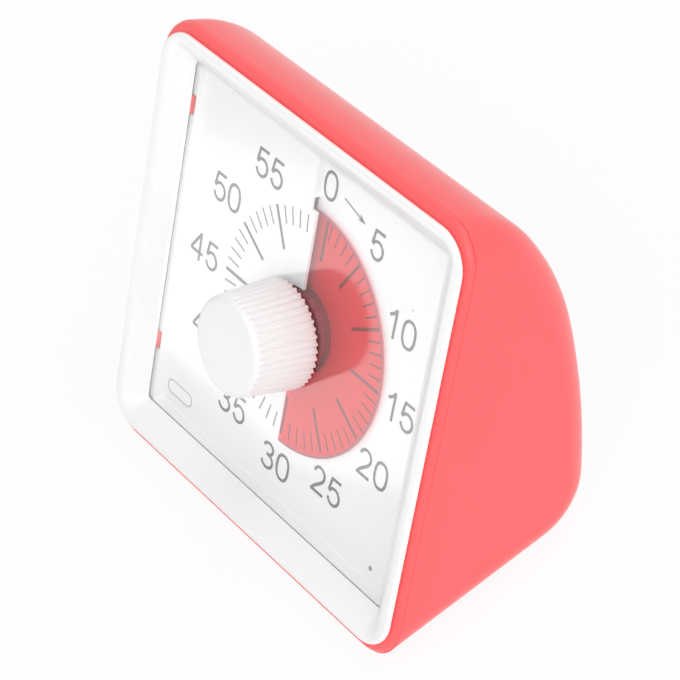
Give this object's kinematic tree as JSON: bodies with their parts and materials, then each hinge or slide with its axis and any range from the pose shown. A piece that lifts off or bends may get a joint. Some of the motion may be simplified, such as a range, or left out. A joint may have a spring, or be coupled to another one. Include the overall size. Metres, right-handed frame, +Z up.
{
  "type": "visual countdown timer",
  "caption": "Small leaning desk timer with a square white dial, a red time disc behind a clear window, a fluted white knob and a rounded red case.",
  "frame": {"origin": "centre of the bounding box at table level", "axes": "+X to the right across the dial seen from the front, +Y to the back, +Z up"},
  "size_m": [0.078, 0.0494, 0.0696],
  "materials": {
    "white_frame": "satin",
    "clear_window": "gloss",
    "dial_white": "satin",
    "inner_white": "matte",
    "disc_red": "gloss",
    "hub_dark_red": "satin",
    "knob_white": "satin",
    "steel_shaft": "satin",
    "case_red": "satin",
    "cell_can": "satin",
    "holder_black": "matte",
    "contact_metal": "polished",
    "movement_grey": "matte",
    "gear_brass": "satin",
    "rotor_grey": "satin",
    "stator_steel": "satin",
    "coil_copper": "satin",
    "board_green": "satin",
    "chip_black": "matte",
    "sounder_black": "satin",
    "switch_black": "satin",
    "switch_white": "satin",
    "screw_steel": "satin"
  },
  "bodies": {
    "case": {"bezel": "white_frame", "lens": "clear_window", "dial_plate": "dial_white", "mounting_plate": "inner_white", "case_front": "case_red", "rear_shell": "case_red", "battery": "cell_can", "battery_holder": "holder_black", "contact_plate": "contact_metal", "contact_spring": "contact_metal", "movement_front": "movement_grey", "movement_back": "movement_grey", "stator": "stator_steel", "coil": "coil_copper", "circuit_board": "board_green", "chip": "chip_black", "crystal": "contact_metal", "buzzer": "sounder_black", "switch_body": "switch_black", "case_screws": "screw_steel", "movement_screws": "screw_steel"},
    "knob_group": {"knob": "knob_white", "main_shaft": "steel_shaft", "centre_wheel": "gear_brass", "clutch_washer": "contact_metal"},
    "disc_group": {"time_disc": "disc_red", "disc_hub": "hub_dark_red"},
    "second_wheel_group": {"second_wheel": "gear_brass"},
    "rotor_group": {"rotor": "rotor_grey"},
    "door": {"battery_door": "case_red"},
    "slider": {"switch_slider": "switch_white"}
  },
  "joints": [
    {"name": "knob_turn", "type": "hinge", "parent": "case", "child": "knob_group", "pos_m": [0, -0.00265, 0.0329], "axis": [0, -0.8988, 0.4384], "range_deg": [-174, 174]},
    {"name": "disc_advance", "type": "slide", "parent": "knob_group", "child": "disc_group", "axis": [0, -0.8988, 0.4384], "range_m": [-0.0008, 0.0008]},
    {"name": "second_wheel_spin", "type": "hinge", "parent": "case", "child": "second_wheel_group", "pos_m": [0.0085, 0.00107, 0.04054], "axis": [0, -0.8988, 0.4384], "range_deg": [-700, 700]},
    {"name": "rotor_spin", "type": "hinge", "parent": "case", "child": "rotor_group", "pos_m": [0.0025, 0.00318, 0.04486], "axis": [0, -0.8988, 0.4384], "range_deg": [-2620, 2620]},
    {"name": "battery_door_pull", "type": "slide", "parent": "case", "child": "door", "axis": [0, 1, 0], "range_m": [0, 0.03]},
    {"name": "volume_switch_slide", "type": "slide", "parent": "case", "child": "slider", "axis": [1, 0, 0], "range_m": [0, 0.004]}
  ],
  "couplings": [
    {"joint": "disc_advance", "follows": "knob_turn", "m_per_rad": -0.00025465},
    {"joint": "second_wheel_spin", "follows": "knob_turn", "ratio": -4},
    {"joint": "rotor_spin", "follows": "knob_turn", "ratio": 15}
  ]
}
